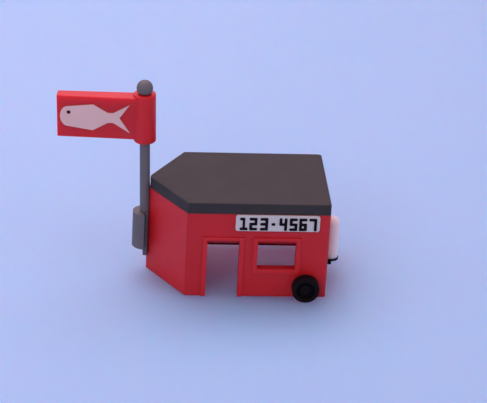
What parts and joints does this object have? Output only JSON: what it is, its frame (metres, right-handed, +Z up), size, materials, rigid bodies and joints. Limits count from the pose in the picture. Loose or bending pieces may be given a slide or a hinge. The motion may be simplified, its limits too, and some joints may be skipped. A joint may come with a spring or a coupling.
{
  "type": "toy ice fishing hut",
  "caption": "Small printed plastic toy hut with a pointed nose, open doorway and window, number plate, wheels, gas tank and a fish flag on a mast.",
  "frame": {"origin": "ground level, in the middle of the rear wall's foot, halfway through the wall's thickness", "axes": "+Z up; +X along the hut from the pointed nose to the rear; -Y is the side with the doorway"},
  "size_m": [0.1228, 0.0602, 0.0882],
  "materials": {
    "red_plastic": "red PLA as printed, fine layer lines",
    "dark_grey_plastic": "dark grey PLA as printed",
    "grey_plastic": "grey PLA as printed",
    "white_plastic": "white PLA as printed",
    "black_plastic": "black PLA as printed"
  },
  "bodies": {
    "hut": {"near_side_wall": "red_plastic", "far_side_wall": "red_plastic", "rear_wall": "red_plastic", "near_nose_wall": "red_plastic", "far_nose_wall": "red_plastic", "roof": "dark_grey_plastic", "door_casing": "red_plastic", "near_window_casing": "red_plastic", "far_front_window_casing": "red_plastic", "far_rear_window_casing": "red_plastic", "number_plate": "white_plastic", "near_axle_pin": "black_plastic", "far_axle_pin": "black_plastic", "mast_bracket": "grey_plastic", "gas_tank": "white_plastic", "tank_shelf": "black_plastic", "tank_strut": "black_plastic"},
    "mast": {"mast": "dark_grey_plastic", "mast_ball": "dark_grey_plastic", "flag": "red_plastic", "near_fish": "white_plastic", "far_fish": "white_plastic"},
    "near_wheel": {"near_wheel": "black_plastic"},
    "far_wheel": {"far_wheel": "black_plastic"}
  },
  "joints": [
    {"name": "mast_turn", "type": "hinge", "parent": "hut", "child": "mast", "pos_m": [-0.07538, 0, 0.0274], "axis": [-0.0314, 0, 0.9995], "continuous": true},
    {"name": "near_wheel_turn", "type": "hinge", "parent": "hut", "child": "near_wheel", "pos_m": [-0.0075, -0.0244, 0.0058], "axis": [0, 1, 0], "continuous": true},
    {"name": "far_wheel_turn", "type": "hinge", "parent": "hut", "child": "far_wheel", "pos_m": [-0.0075, 0.0244, 0.0058], "axis": [0, 1, 0], "continuous": true}
  ]
}
